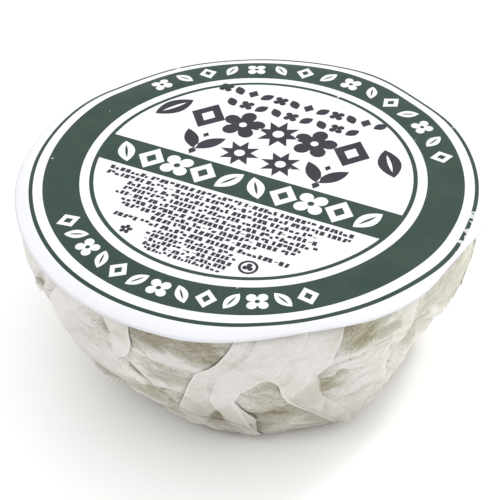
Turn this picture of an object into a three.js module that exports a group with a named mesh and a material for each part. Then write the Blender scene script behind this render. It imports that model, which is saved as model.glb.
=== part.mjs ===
import * as THREE from 'three';

// A shaving soap puck: a bowl-shaped cake of soap, one sheet of greaseproof paper pleated round it, and a
// round self-adhesive label that closes the gathered paper on top.
// Millimetres. +Z is up, the puck stands on Z = 0 and the label's centre is on the Z axis.

// Overall size
const HEIGHT = 28.3;
const LABEL_RADIUS = 32.4;
const RIM_RADIUS = 31.3;
const FOOT_RADIUS = 22.4;

// Side of the bowl: near upright under the rim, leaning in more and more towards the foot
const SIDE_CURVE = 1.9;
const RIM_ROUNDING = 2.6;
const FOOT_ROUNDING = 1.6;

// The bowl leans: its rim sits to the left of the label's centre and its foot to the right
const RIM_SHIFT = -0.6;
const LEAN = 0.06;

// Paper and label
const LABEL_THICKNESS = 0.3;
const LABEL_FLAT_RADIUS = 28.8;
const LABEL_DROOP = 0.9;
const PAPER = 0.5;
const PLAY = 0.3;
const GATHER_RADIUS = 22;
const WRAP_TOP = HEIGHT - LABEL_THICKNESS - PLAY;

// Pleats of the wrap: they start at the foot with almost no width and open towards the rim
const PLEATS = 12;
const PLEAT_HEIGHT = 0.45;
const PLEAT_AT_FOOT = 0.02;
const PLEAT_AT_RIM = 0.15;
const PLEAT_SLANT = 0.16;
const PLEAT_SCATTER = 0.07;
const PLEAT_STEP = 0.012;

// Fineness of the solids
const SIDE_STEPS = 7;
const ROUNDING_STEPS = 3;
const ROUND_STEPS = 72;
const COLUMNS_PER_FACE = 3;

const GREASEPROOF = { color: 0xd9d6cb, roughness: 0.7, metalness: 0 };
const SOAP = { color: 0xded9c4, roughness: 0.55, metalness: 0 };
const PRINTED_PAPER = { color: 0xf4f4f5, roughness: 0.6, metalness: 0 };

function sideRadius(z) {
  const depth = (WRAP_TOP - z) / WRAP_TOP;
  return RIM_RADIUS - (RIM_RADIUS - FOOT_RADIUS) * depth ** SIDE_CURVE;
}

// Outline of the wrap's outer face as (radius, z), from the gathered opening on top over the rim and down
// the side to the middle of the foot.
function wrapOutline(innerRadius) {
  const outline = new THREE.Path();
  const rimZ = WRAP_TOP - RIM_ROUNDING;
  const footSide = sideRadius(FOOT_ROUNDING);
  outline.moveTo(innerRadius, WRAP_TOP);
  outline.lineTo(sideRadius(rimZ) - RIM_ROUNDING, WRAP_TOP);
  outline.quadraticCurveTo(sideRadius(rimZ), WRAP_TOP, sideRadius(rimZ), rimZ);
  const points = outline.getPoints(ROUNDING_STEPS);
  for (let step = 1; step <= SIDE_STEPS; step += 1) {
    const z = rimZ + (FOOT_ROUNDING - rimZ) * step / SIDE_STEPS;
    points.push(new THREE.Vector2(sideRadius(z), z));
  }
  const foot = new THREE.QuadraticBezierCurve(
    new THREE.Vector2(footSide, FOOT_ROUNDING),
    new THREE.Vector2(sideRadius(0), 0),
    new THREE.Vector2(sideRadius(0) - FOOT_ROUNDING, 0),
  );
  points.push(...foot.getPoints(ROUNDING_STEPS).slice(1));
  points.push(new THREE.Vector2(0, 0));
  return points;
}

// The same outline moved inwards by the given distance, square to itself.
function inset(points, distance) {
  return points.map((point, index) => {
    const before = points[Math.max(index - 1, 0)];
    const after = points[Math.min(index + 1, points.length - 1)];
    const along = after.clone().sub(before).normalize();
    return new THREE.Vector2(point.x + along.y * distance, point.y - along.x * distance);
  }).map((point, index) => (points[index].x === 0 ? new THREE.Vector2(0, point.y) : point));
}

function lean(geometry) {
  const shear = new THREE.Matrix4();
  shear.set(1, 0, -LEAN, LEAN * WRAP_TOP + RIM_SHIFT, 0, 1, 0, 0, 0, 0, 1, 0, 0, 0, 0, 1);
  return geometry.applyMatrix4(shear);
}

function lathe(points) {
  const geometry = new THREE.LatheGeometry(points, ROUND_STEPS);
  return geometry.rotateX(Math.PI / 2);
}

function soapGeometry() {
  const skin = inset(wrapOutline(0), PAPER + PLAY);
  return lean(lathe(skin.reverse()));
}

function labelGeometry() {
  const upper = new THREE.Path();
  upper.moveTo(0, HEIGHT);
  upper.lineTo(LABEL_FLAT_RADIUS, HEIGHT);
  const bend = (LABEL_FLAT_RADIUS + LABEL_RADIUS) / 2;
  upper.quadraticCurveTo(bend, HEIGHT, LABEL_RADIUS, HEIGHT - LABEL_DROOP);
  const top = upper.getPoints(ROUNDING_STEPS);
  const underside = top.map((point) => new THREE.Vector2(point.x, point.y - LABEL_THICKNESS));
  return lathe([...underside, ...top.reverse()]);
}

// Angles of the wrap's columns at one level, as fractions of a turn. rise is 0 at the foot and 1 at the rim.
// Each pleat has a column outside and inside both of its folds, and the columns between folds are even.
function columnAngles(rise) {
  const columns = [];
  for (let pleat = 0; pleat < PLEATS; pleat += 1) {
    const scatter = PLEAT_SCATTER * Math.sin(pleat * pleat * 2.4) / PLEATS;
    const slant = (pleat % 3 === 0 ? -1 : 1) * PLEAT_SLANT * rise / PLEATS;
    const middle = pleat / PLEATS + scatter + slant;
    const half = (PLEAT_AT_FOOT + (PLEAT_AT_RIM - PLEAT_AT_FOOT) * rise) / PLEATS;
    const step = PLEAT_STEP / PLEATS;
    columns.push({ turn: middle - half - step, raised: false });
    columns.push({ turn: middle - half, raised: true });
    columns.push({ turn: middle + half, raised: true });
    columns.push({ turn: middle + half + step, raised: false });
  }
  return columns.flatMap((column, index) => {
    const next = columns[(index + 1) % columns.length];
    const nextTurn = next.turn + (index === columns.length - 1 ? 1 : 0);
    const isFold = column.raised !== next.raised;
    const parts = isFold ? 1 : COLUMNS_PER_FACE;
    return Array.from({ length: parts }, (_, part) => ({
      turn: column.turn + (nextTurn - column.turn) * part / parts,
      raised: column.raised,
    }));
  });
}

function wrapRow(point, normal, pleated) {
  const rise = Math.min(Math.max(point.y / (WRAP_TOP - RIM_ROUNDING), 0), 1);
  return columnAngles(rise).map(({ turn, raised }) => {
    const relief = raised && pleated ? PLEAT_HEIGHT * rise * Math.max(normal.x, 0) : 0;
    const radius = point.x + normal.x * relief;
    const angle = turn * 2 * Math.PI;
    return [radius * Math.cos(angle), radius * Math.sin(angle), point.y + normal.y * relief];
  });
}

// Closed shell: outer face from the opening to the foot, then the inner face back up to the opening.
function wrapGeometry() {
  const outer = wrapOutline(GATHER_RADIUS);
  const inner = inset(outer, PAPER);
  const rows = [];
  outer.slice(0, -1).forEach((point, index) => {
    const along = outer[index + 1].clone().sub(outer[Math.max(index - 1, 0)]).normalize();
    rows.push(wrapRow(point, new THREE.Vector2(-along.y, along.x), true));
  });
  rows.push([[0, 0, outer.at(-1).y]]);
  rows.push([[0, 0, inner.at(-1).y]]);
  inner.slice(0, -1).reverse().forEach((point) => {
    rows.push(wrapRow(point, new THREE.Vector2(0, 0), false));
  });

  const firstOfRow = [];
  const positions = [];
  rows.forEach((row) => {
    firstOfRow.push(positions.length / 3);
    row.forEach((vertex) => positions.push(...vertex));
  });
  const triangles = [];
  const count = rows[0].length;
  rows.forEach((row, level) => {
    const nextLevel = (level + 1) % rows.length;
    const next = rows[nextLevel];
    for (let column = 0; column < count; column += 1) {
      const neighbour = (column + 1) % count;
      const a = firstOfRow[level] + (row.length === 1 ? 0 : column);
      const b = firstOfRow[level] + (row.length === 1 ? 0 : neighbour);
      const c = firstOfRow[nextLevel] + (next.length === 1 ? 0 : column);
      const d = firstOfRow[nextLevel] + (next.length === 1 ? 0 : neighbour);
      if (a !== b) {
        triangles.push(a, c, b);
      }
      if (c !== d) {
        triangles.push(b, c, d);
      }
    }
  });
  const geometry = new THREE.BufferGeometry();
  geometry.setAttribute('position', new THREE.Float32BufferAttribute(positions, 3));
  geometry.setIndex(triangles);
  return lean(geometry);
}

function piece(name, geometry, look) {
  const mesh = new THREE.Mesh(geometry, new THREE.MeshStandardMaterial(look));
  mesh.name = name;
  return mesh;
}

const puck = new THREE.Group();
puck.add(piece('soap_cake', soapGeometry(), SOAP));
puck.add(piece('greaseproof_wrap', wrapGeometry(), GREASEPROOF));
puck.add(piece('top_label', labelGeometry(), PRINTED_PAPER));

export default puck;
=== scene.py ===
"""A shaving soap puck: a bowl-shaped cake in pleated greaseproof paper, under a round printed label.

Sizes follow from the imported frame. Lengths are in millimetres until a mesh is made, and azimuths are in
degrees, anticlockwise from +X as seen from above.
"""

import math

import bpy
import numpy as np
from mathutils import Matrix, Vector
from mathutils.geometry import delaunay_2d_cdt


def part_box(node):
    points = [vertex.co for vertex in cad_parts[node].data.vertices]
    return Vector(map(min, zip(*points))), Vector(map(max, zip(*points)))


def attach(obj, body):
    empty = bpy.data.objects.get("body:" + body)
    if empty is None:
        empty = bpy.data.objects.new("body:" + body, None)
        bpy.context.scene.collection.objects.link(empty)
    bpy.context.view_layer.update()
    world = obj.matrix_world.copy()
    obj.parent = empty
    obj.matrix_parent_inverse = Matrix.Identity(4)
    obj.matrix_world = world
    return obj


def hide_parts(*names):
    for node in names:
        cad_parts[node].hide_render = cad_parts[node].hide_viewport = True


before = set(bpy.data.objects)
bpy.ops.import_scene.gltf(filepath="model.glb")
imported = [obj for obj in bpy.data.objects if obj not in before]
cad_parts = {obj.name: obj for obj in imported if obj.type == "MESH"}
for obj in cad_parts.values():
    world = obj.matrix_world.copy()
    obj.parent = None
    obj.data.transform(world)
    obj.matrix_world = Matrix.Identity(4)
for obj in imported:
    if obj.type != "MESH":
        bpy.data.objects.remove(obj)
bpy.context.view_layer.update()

MM = 0.001
TURN = 2 * math.pi
random = np.random.default_rng(70)

# ---------------------------------------------------------------- sizes from the frame
label_low, label_high = (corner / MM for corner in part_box("top_label"))
_, wrap_high = (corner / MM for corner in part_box("greaseproof_wrap"))
soap_low, soap_high = (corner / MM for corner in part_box("soap_cake"))

TOP = label_high.z
LABEL_RADIUS = (label_high.x - label_low.x) / 2

# ---------------------------------------------------------------- outline of the wrapped body
RIM_RADIUS = 0.962 * LABEL_RADIUS
FOOT_RADIUS = 0.700 * LABEL_RADIUS
SIDE_CURVE = 1.9
RIM_ROUNDING = 2.4
FOOT_ROUNDING = 1.3
RIM_SHIFT = -0.6
LEAN = 0.06
GATHER_RADIUS = 0.70 * LABEL_RADIUS
SKIN_TOP = wrap_high.z - 0.25
NORMAL_STEP = 0.4


def smooth(x):
    """0 below 0, 1 above 1, and a smooth step between."""
    x = np.clip(x, 0, 1)
    return x * x * (3 - 2 * x)


def side_radius(z):
    depth = np.clip((SKIN_TOP - z) / SKIN_TOP, 0, 1)
    return RIM_RADIUS - (RIM_RADIUS - FOOT_RADIUS) * depth**SIDE_CURVE


def bend(start, middle, end, steps=12):
    t = np.linspace(0, 1, steps)[:, None]
    start, middle, end = map(np.array, (start, middle, end))
    return (1 - t) ** 2 * start + 2 * t * (1 - t) * middle + t**2 * end


def body_outline():
    """(radius, z) from the middle of the foot, up the side, over the rim and in to where the paper ends."""
    rim_z = SKIN_TOP - RIM_ROUNDING
    rim = side_radius(rim_z)
    flat = FOOT_RADIUS - FOOT_ROUNDING
    side_z = np.linspace(FOOT_ROUNDING, rim_z, 60)[1:-1]
    parts = [
        [(0, 0), (flat, 0)],
        bend((flat, 0), (FOOT_RADIUS, 0), (side_radius(FOOT_ROUNDING), FOOT_ROUNDING))[1:],
        np.stack([side_radius(side_z), side_z], -1),
        bend((rim, rim_z), (rim, SKIN_TOP), (rim - RIM_ROUNDING, SKIN_TOP)),
        [(GATHER_RADIUS, SKIN_TOP)],
    ]
    return np.concatenate([np.asarray(part, float) for part in parts])


OUTLINE = body_outline()
RUN = np.concatenate([[0], np.cumsum(np.hypot(*np.diff(OUTLINE, axis=0).T))])
FOOT_RUN = FOOT_RADIUS - FOOT_ROUNDING
END_RUN = RUN[-1]
RIM_RUN = float(RUN[np.argmax(OUTLINE[:, 1] >= SKIN_TOP - RIM_ROUNDING)])


def run_at(height):
    """Distance along the outline from the middle of the foot to this height, and on over the top."""
    on_side = (RUN >= FOOT_RUN) & (RUN <= RIM_RUN)
    height = np.asarray(height, float)
    side = np.interp(height, OUTLINE[on_side, 1], RUN[on_side])
    return np.where(height > SKIN_TOP - RIM_ROUNDING, RIM_RUN + height - (SKIN_TOP - RIM_ROUNDING), side)


def outline_at(run):
    """Radius and z at these distances along the outline, and the outward direction there."""

    def place(at):
        return np.interp(at, RUN, OUTLINE[:, 0]), np.interp(at, RUN, OUTLINE[:, 1])

    ahead = place(np.clip(run + NORMAL_STEP, 0, END_RUN))
    behind = place(np.clip(run - NORMAL_STEP, 0, END_RUN))
    d_radius, d_z = ahead[0] - behind[0], ahead[1] - behind[1]
    length = np.hypot(d_radius, d_z)
    return *place(run), d_z / length, -d_radius / length


def angle_between(a, b):
    return (a - b + 180) % 360 - 180


def spots(table, azimuth, height, fall=1.0):
    """The sum of soft spots, each given as azimuth, height, reach round, reach up and strength."""
    total = np.zeros(np.broadcast(azimuth, height).shape)
    for centre, middle, around, up, strength in table:
        beside = (angle_between(azimuth, centre) / around) ** 2 + ((height - middle) / up) ** 2
        total += strength * np.exp(-(beside**fall))
    return total


# Where the hand-cast cake is fuller or flatter than a turned shape: spots, in mm
BULGES = (
    (196, 12, 30, 9, 0.8),
    (-143, 10.5, 17, 5, 0.6),
    (236, 1, 24, 5, -0.8),
    (-87, 0.5, 10, 3, 0.35),
    (-104, 1.0, 14, 4, 0.45),
    (-62, 0.5, 12, 3, 0.3),
    (-155, 21, 18, 5, 0.45),
    (-28, 6.5, 15, 5, -1.5),
    (-37, 12.5, 12, 5, -1.5),
    (-47, 2.5, 10, 4, -0.9),
    (-24, 2, 13, 4, -0.8),
    (60, 10, 40, 9, 0.5),
    (118, 16, 34, 10, -0.5),
)


def bulged(radius, azimuth, z):
    """The radius with the bulges, which fade out towards the middle of the foot and under the label."""
    bulge = spots(BULGES, azimuth, z) * smooth(radius / FOOT_RADIUS)
    return radius + bulge * smooth((SKIN_TOP - z) / 4 + 0.2)


def leaned(radius, azimuth, z):
    """Points of a round body that leans as the puck does."""
    angle = np.radians(azimuth)
    x = radius * np.cos(angle) + RIM_SHIFT + LEAN * (SKIN_TOP - z)
    return np.stack([x, radius * np.sin(angle), z], -1)


def on_body(azimuth, run, out):
    """Points on the body at these azimuths and distances along the outline, moved out by out."""
    radius, z, normal_r, normal_z = outline_at(run)
    return leaned(bulged(radius, azimuth, z) + normal_r * out, azimuth, z + normal_z * out)


# ---------------------------------------------------------------- creases of thin paper
DRIFT = 3.6
FACET_WARP = 0.45
CREASE_HEIGHT = 1.5
GROOVE_HALF_WIDTH = 0.5
SHADE_LINE_WIDTH = 1.2
HANG = 0.9
END_FADE = 0.2


def scatter(i, j, seed):
    """A fixed pseudo-random number from 0 to 1 for each pair of whole numbers."""
    h = (i.astype(np.int64) * 374761393 + j.astype(np.int64) * 668265263 + seed * 974634777) & 0xFFFFFFFF
    h = ((h ^ (h >> 13)) * 1274126177) & 0xFFFFFFFF
    h = ((h ^ (h >> 16)) * 2246822519) & 0xFFFFFFFF
    return ((h ^ (h >> 15)) & 0xFFFFFF) / float(0x1000000)


def waves(turn, run, seed, count=5):
    """A smooth field that closes on itself round the body, from about -1 to 1."""
    draw = np.random.default_rng(seed)
    total = np.zeros(np.broadcast(turn, run).shape)
    for _ in range(count):
        around = draw.integers(2, 12)
        up = draw.uniform(-0.35, 0.35)
        total += np.sin(TURN * around * turn + up * run + draw.uniform(0, TURN)) / count**0.5
    return total


def drift(azimuth):
    """How far the grain of the creases has climbed at this azimuth, in mm: it falls, then rises."""
    return DRIFT * np.sin(np.radians(3 * (azimuth + 113)))


def facets(azimuth, run, around, tall, seed, slant):
    """Flat facets with sharp creases between them: around of them in a turn, each tall mm high."""
    turn = azimuth / 360
    run = run + drift(azimuth)
    u = turn * around + slant * run / tall + FACET_WARP * waves(turn, run, seed + 1)
    v = run / tall + FACET_WARP * waves(turn, run, seed + 2)
    i, j = np.floor(u), np.floor(v)
    fu, fv = u - i, v - j
    corners = [scatter(np.mod(i + du, around), j + dv, seed) for dv in (0, 1) for du in (0, 1)]
    here, beside, above, across = corners
    falling = scatter(np.mod(i, around), j, seed + 7) < 0.5
    low = here + fu * (beside - here) + fv * (above - here)
    high = across + (1 - fu) * (above - across) + (1 - fv) * (beside - across)
    right = here + fu * (beside - here) + fv * (across - beside)
    left = here + fv * (above - here) + fu * (across - above)
    split_down = np.where(fu + fv < 1, low, high)
    split_up = np.where(fu > fv, right, left)
    return np.where(falling, split_down, split_up) - 0.5


# Long creases that the hand leaves: height and half width in mm, then azimuth and height of each point
CREASES = (
    (0.3, 1.3, -122.6, 19.2, -119.6, 18.2, -117.4, 16.6, -115.4, 15.4, -111, 15.8, -108, 14.6),
    (0.42, 1.6, -126.4, 16.2, -123.4, 15.6, -120.6, 14.6, -119, 13),
    (0.4, 0.6, -149.5, 25, -151.5, 22.4, -155, 19.6),
    (0.4, 0.6, -155, 19.3, -150, 21.4, -146.5, 23.3, -142.5, 25),
    (-0.4, 0.6, -117, 12.6, -114.5, 10.4, -115.5, 8.2),
    (0.45, 0.8, -124, 5.2, -117, 4.0, -109, 4.4, -101, 2.6),
    (-0.4, 0.7, -120, 2.4, -112, 2.2, -104, 0.9),
    (0.35, 0.8, -131, 4.4, -126, 2.6, -119, 1.4),
    (0.35, 0.6, -104, 4.2, -98, 3.4, -93, 1.6),
    (0.2, 0.8, -107, 26.5, -102, 22.5, -98, 20.4),
    (0.2, 0.7, -93, 26.6, -87, 23.5, -84, 21),
    (0.18, 0.8, -80, 24, -78, 20, -80, 16),
    (0.2, 0.8, -106, 15, -103, 11, -104, 8),
    (0.4, 1.1, -144, 10.5, -135, 8.3, -126, 8.6, -117, 6.4),
    (0.3, 0.9, -138, 15.5, -128, 13.8, -122, 14.4),
    (0.28, 1.0, -147, 18, -136, 16.8, -126, 17.6),
    (0.3, 0.8, -112, 9.6, -105, 8.3, -98, 6.8),
    (0.42, 1.2, -116, 21.6, -108, 21.9, -101, 21.2),
    (0.22, 0.7, -116, 19.2, -110, 19.0, -105, 18.4),
    (0.2, 0.6, -92, 15.6, -87, 16.4, -84, 15.6),
    (0.22, 0.6, -94, 12.4, -88, 13.2, -82, 11.4),
    (-0.2, 0.6, -93, 9.2, -87, 9.8, -79, 8.2),
    (0.2, 0.9, -89, 4.6, -82, 5.6, -72, 4.2),
    (0.4, 1.0, -74.5, 20.5, -68.5, 21.9, -62.8, 22.5, -56, 22.6, -49, 22),
    (0.5, 1.0, -52, 18, -50.2, 15, -51.4, 11.5),
    (-0.35, 0.7, -73, 18.8, -66, 18.3, -58, 19.0),
    (0.22, 0.6, -75, 17.0, -69, 16.4, -64, 16.9),
    (0.2, 0.6, -74.5, 14.4, -70, 13.0, -67, 13.4),
    (0.25, 0.8, -64, 23.6, -60, 25.0, -55, 25.2),
    (0.3, 1.2, -60, 18, -55.5, 12, -50, 8),
    (0.6, 1.3, -66.8, 2.9, -61.8, 4.3, -57, 6.4, -50, 8.2),
    (0.22, 1.0, -70, 9.5, -64, 7.6, -58, 9.0),
    (0.45, 1.3, -47, 23, -38, 19, -30, 18.4),
    (-0.35, 1.1, -44, 13, -36, 14.8, -26, 13.6),
)

# Where one side of a crease stands out past the other, the upper one where positive: mm, reach, then points
STEPS = (
    (-0.3, 1.8, -141, 10.6, -134, 8.4, -127, 6.9, -119, 5.4),
    (-0.5, 1.8, -115, 8.6, -112.4, 7.7, -110.8, 7.0, -107, 6.9, -102, 6.6, -98.2, 6.1, -92, 4.0),
    (0.5, 1.8, -75.5, 17.2, -70, 18.4, -62, 19.2, -55, 20.2),
    (0.5, 1.6, -66, 2.2, -61, 4.2, -56, 6.0),
    (0.4, 1.8, -20, 9, -8, 11, 6, 9.5),
    (0.5, 1.8, 36, 18, 52, 14.5, 62, 15.5),
    (0.5, 1.6, 84, 8, 96, 10.5, 108, 9),
    (0.5, 2.0, 128, 19, 140, 16, 150, 12.5),
    (0.5, 1.8, 176, 14, 188, 10, 197, 10.5),
    (0.45, 1.4, 20, 6, 34, 4.2, 46, 5),
    (0.45, 1.4, 140, 5.5, 156, 3.6, 170, 4.4),
)

# Sharp folds pressed in between two swells of paper, with painted shade along the bottom: depth and half
# width, then points
GROOVES = (
    (1.25, 0.5, -123.6, 18.2, -121.8, 17.7, -120.2, 17.2, -119.2, 16.6, -117.4, 15.7, -116.4, 14.6, -115,
     13.8, -113.5, 14.2, -112, 14.5),
    (0.8, 0.45, -113.5, 14.2, -112, 14.4, -110.8, 14.1, -109.2, 13.6, -107, 13),
    (0.8, 0.45, -126, 16.8, -125.2, 16.2, -124.6, 15.7, -123.4, 15.2),
    (0.7, 0.5, -127.5, 11.7, -126.5, 11.4, -124.5, 11.4, -122.5, 10.6),
    (0.7, 0.5, -137, 10.2, -134, 9.2, -129, 7.9, -124, 6.6, -118, 5.4),
    (0.9, 0.55, -113.4, 9.6, -112.2, 8.4, -111.4, 7.7),
    (0.5, 0.4, -121, 13.2, -119.5, 12.2, -118.8, 10.8, -116.4, 9.9),
    (0.35, 0.45, -116.5, 20.9, -114.8, 20.8, -113.2, 20.3, -111, 19.6),
    (0.35, 0.5, -118, 20, -115.2, 18.1, -111.8, 17.4, -108.5, 16.1),
    (0.6, 0.5, -75.5, 18.4, -73.5, 19.4, -71, 20.2, -68.5, 20.7, -62.8, 21.3, -56.2, 21.5, -48, 20.8),
    (0.72, 0.5, -53.2, 20.6, -54.8, 18.2, -55.4, 16.3, -54.6, 13.5, -53.8, 11.6),
    (0.8, 0.45, -62.5, 18.6, -58, 18.8, -54.2, 20),
    (0.5, 0.45, -73, 12.6, -72.2, 10, -72, 7.2),
    (0.35, 0.45, -68, 13.4, -64, 15.2, -60, 16.0),
    (0.4, 0.5, -60.5, 6.8, -57.5, 9.4, -55.5, 12.2),
    (0.3, 0.5, -88.5, 9.9, -85.5, 9.3, -80.2, 9.6, -76, 8.2),
    (0.6, 0.45, -94.4, 8.2, -93.4, 6.8, -92.2, 5.4, -91, 4.0),
    (0.8, 0.45, -128.4, 24, -126.5, 23.4, -124.4, 22.9),
    (0.8, 0.45, -152, 24.4, -150.4, 22.4, -147.4, 22.2),
    (0.5, 0.5, -46, 19, -40, 17.6, -33, 18.8),
    (0.5, 0.5, -44, 10.5, -37, 11.6, -30, 9.8),
)

# Painted shadow: dark lines along the two steps low on the front: strength, then points
STEP_SHADOW_LINES = (
    (0.68, -114, 8.8, -112.4, 7.9, -110.8, 7.2, -107, 7.1, -102, 6.8, -98.2, 6.3, -94, 4.4),
    (0.62, -139, 10.6, -134, 8.8, -128, 7.3, -120, 6.0, -114, 5.2),
)


def random_creases(count):
    """Creases for the back and the far side, which the hand leaves anywhere."""
    rows = []
    for _ in range(count):
        azimuth, height = random.uniform(-38, 205), random.uniform(1, 26)
        length, tilt = random.uniform(5, 15), random.uniform(-0.7, 0.7)
        around, up = length * 2.1 * math.cos(tilt), length * math.sin(tilt)
        middle = height + up / 2 + random.uniform(-1.2, 1.2)
        amount = random.uniform(0.2, 0.5) * random.choice([-1, 1, 1])
        width = random.uniform(0.6, 1.3)
        points = (azimuth, height, azimuth + around / 2, middle, azimuth + around, height + up)
        rows.append((amount, width, *points))
    return rows


ALL_CREASES = [*CREASES, *random_creases(60)]
ALL_GROOVES = [*GROOVES]
ALL_GROOVES += [(abs(depth), GROOVE_HALF_WIDTH, *points) for depth, _, *points in random_creases(30)]
# Lines along which shade is painted into the wrap's colour: the grooves and the steps' shadow lines
PAINTED_SHADE_LINES = [(depth, SHADE_LINE_WIDTH, *points) for depth, _, *points in ALL_GROOVES]
PAINTED_SHADE_LINES += [(strength, SHADE_LINE_WIDTH, *points) for strength, *points in STEP_SHADOW_LINES]


def fade_at_ends(share):
    """1 along the middle of a line and 0 at both its ends."""
    return smooth(share / END_FADE) * smooth((1 - share) / END_FADE)


def crease_lines(azimuth, run, rows, gather=np.add):
    """Ridges of straight slopes along the given lines, fading at both ends."""
    total = np.zeros(azimuth.shape)
    for amount, width, *points in rows:
        azimuths, heights = np.reshape(points, (-1, 2)).T
        middle = azimuths.mean()
        scale = side_radius(heights.mean()) * TURN / 360
        knots = np.stack([(azimuths - middle) * scale, run_at(heights)], -1)
        x = angle_between(azimuth, middle) * scale
        legs = np.hypot(*np.diff(knots, axis=0).T)
        travelled = np.concatenate([[0], np.cumsum(legs)])
        best = np.zeros(azimuth.shape)
        for index, leg in enumerate(legs):
            along = (knots[index + 1] - knots[index]) / leg
            dx, dy = x - knots[index, 0], run - knots[index, 1]
            t = np.clip(dx * along[0] + dy * along[1], 0, leg)
            across = np.hypot(dx - t * along[0], dy - t * along[1])
            share = (travelled[index] + t) / travelled[-1]
            best = np.maximum(best, fade_at_ends(share) * np.clip(1 - across / width, 0, 1))
        total = gather(total, amount * best)
    return total


def crease_steps(azimuth, run):
    """How far the paper stands out along the steps, and how far its lip hangs down over the paper below."""
    total = np.zeros(azimuth.shape)
    hang = np.zeros(azimuth.shape)
    for amount, reach, *points in STEPS:
        azimuths, heights = np.reshape(points, (-1, 2)).T
        middle = azimuths.mean()
        x = angle_between(azimuth, middle)
        above = run - np.interp(x, azimuths - middle, run_at(heights))
        share = (x - azimuths[0] + middle) / (azimuths[-1] - azimuths[0])
        ends = fade_at_ends(share)
        upper = np.where(above > 0, np.minimum(np.exp(-above / reach), 1), 0)
        lower = np.where(above > 0, 0, np.maximum(-0.35 * np.exp(above / (0.5 * reach)), -1))
        total += amount * ends * (upper + lower)
        hang += HANG * max(amount, 0) * ends * upper
    return total, hang


# ---------------------------------------------------------------- pleats of the sheet
# The sheet is cut round: it reaches over the foot, up the side and in under the label.
# Each fold is rank, lift, edge, depth. rank: how high the panel after it lies in the stack; of two neighbours
# the higher one shows its fold. lift: how far that fold stands off, in mm. edge: height and azimuth of points
# of the fold that shows. depth: heights, each with how many mm of sheet are tucked behind the fold there.
FOLDS = (
    (2, 0.06, (0, -154, 14, -151, 18.5, -149, 22.6, -145, 25.3, -141, 28, -138), (10, 0, 16, 2, 28, 5)),
    (0, 0.05, (0, -129, 17, -125, 18.5, -123.8, 19.2, -121.8, 20.7, -119.8, 22.6, -118.5, 28, -117.5),
     (17.4, 0, 19, 1.6, 28, 4.5)),
    (4, 0.09, (0, -116, 5.8, -113.4, 8.4, -113.4, 10.5, -111.6, 14, -108.6, 17, -106.4, 20.3, -103.5, 22.3,
     -98.5, 25.1, -95.2, 28, -92), (1, 0, 6, 3, 28, 8)),
    (6, 0.07, (0, -92.5, 4.1, -95.5, 6.1, -97.5, 9.9, -99.7, 12.4, -100.8, 14.6, -101.5, 17.3, -101, 18.6,
     -100.2, 20.3, -99, 22.3, -95, 25, -91.5, 28, -88), (0, 0, 2.5, 0.8, 8, 3.5, 14, 3, 17.5, 0, 28, 0)),
    (0, 0.14, (0, -87.4, 0.8, -88.2, 3, -91.2, 5.2, -93.4, 8, -94.2, 10.7, -94.8, 12.7, -95.2, 14, -96,
     16.7, -93.8, 17.7, -91.5, 19.5, -88.5, 20.8, -84.8, 22.7, -82.8, 24.7, -79.8, 28, -76), (0, 0, 2, 0.6,
     5, 2.5, 12, 2.4, 20, 5, 28, 9)),
    (3, 0.07, (0, -64, 3.2, -67.5, 8.2, -75, 10.8, -79.2, 13.1, -82.5, 15, -83.8, 17.9, -84.9, 19.2, -87,
     21, -89.5, 28, -95), (0, 0, 1.5, 0.4, 4, 2.5, 14, 4, 28, 6)),
    (2, 0.05, (0, -63, 3.2, -66.8, 8.2, -74.5, 12, -79.5, 14.5, -81.8, 16.2, -81, 17.8, -77.5, 19.3, -74.4,
     21.2, -72.2, 22.7, -71.5, 25, -70.2, 28, -68), (14, 0, 17.5, 3, 28, 6.5)),
    (0, 0.04, (0, -42, 4, -46, 9, -52, 13.6, -54.8, 16.6, -54.2, 18.4, -54, 21, -51.5, 28, -48), (8, 0, 13,
     0.7, 20, 1.0, 28, 1.6)),
    (1, 0.03, (0, -19, 8, -22, 18, -20, 28, -13), (5, 0, 14, 2, 28, 5)),
    (0, 0.02, (0, -6, 12, -9, 28, -2), (6, 0, 16, 2.5, 28, 5)),
    (4, 0.15, (0, 3, 10, 4, 20, 12, 28, 15), (1, 0, 14, 3, 28, 7)),
    (2, 0.15, (0, 30, 14, 34, 22, 31, 28, 30), (8, 0, 16, 3, 28, 6)),
    (0, 0.1, (0, 41, 10, 47, 28, 60), (2, 0, 12, 3, 28, 7)),
    (2, 0.2, (0, 88, 9, 82, 17, 80, 28, 71), (4, 0, 14, 3.5, 28, 7)),
    (4, 0.12, (0, 97, 16, 105, 28, 103), (9, 0, 18, 3, 28, 5)),
    (0, 0.15, (0, 127, 12, 122, 28, 124), (1, 0, 12, 3, 28, 7)),
    (2, 0.15, (0, 149, 8, 152, 20, 146, 28, 139), (5, 0, 14, 3, 28, 7)),
    (0, 0.12, (0, 168, 18, 171, 28, 180), (3, 0, 13, 3, 28, 6)),
    (1, 0.1, (0, 186, 13, 190, 28, 201), (6, 0, 16, 3, 28, 7)),
)
# Lengths in mm, of tucked sheet, round a fold, through the plies and of the mesh's cells
FULLY_OPENED = 1.2
LIFT_REACH = 1.5
FOLD_HIGHLIGHT_REACH = 1.5
PLY = 0.13
PLY_PRESSED = 0.045
BRIDGE = 0.9
SLACK = 0.35
NARROWEST = 0.25
COLUMN = 0.42
HIDDEN_COLUMN = 1.2
ROW = 0.28


def along_runs(points, runs):
    heights, values = np.reshape(points, (-1, 2)).T
    return np.interp(runs, run_at(heights), values)


class Panel:
    """One stretch of the sheet between two fold lines: a panel that may show, or a hidden ply between two."""

    def __init__(self, start, end, rank, developed, longest, step):
        self.start, self.end, self.rank, self.developed = start, end, rank, developed
        self.free_edges = []
        count = max(4, math.ceil(longest / step))
        first = min(0.14 / longest, 0.5 / count)
        self.share = np.concatenate([[0], np.linspace(first, 1 - first, count - 1), [1]])

    def azimuths(self):
        return self.start[:, None] + (self.end - self.start)[:, None] * self.share[None, :]


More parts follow.
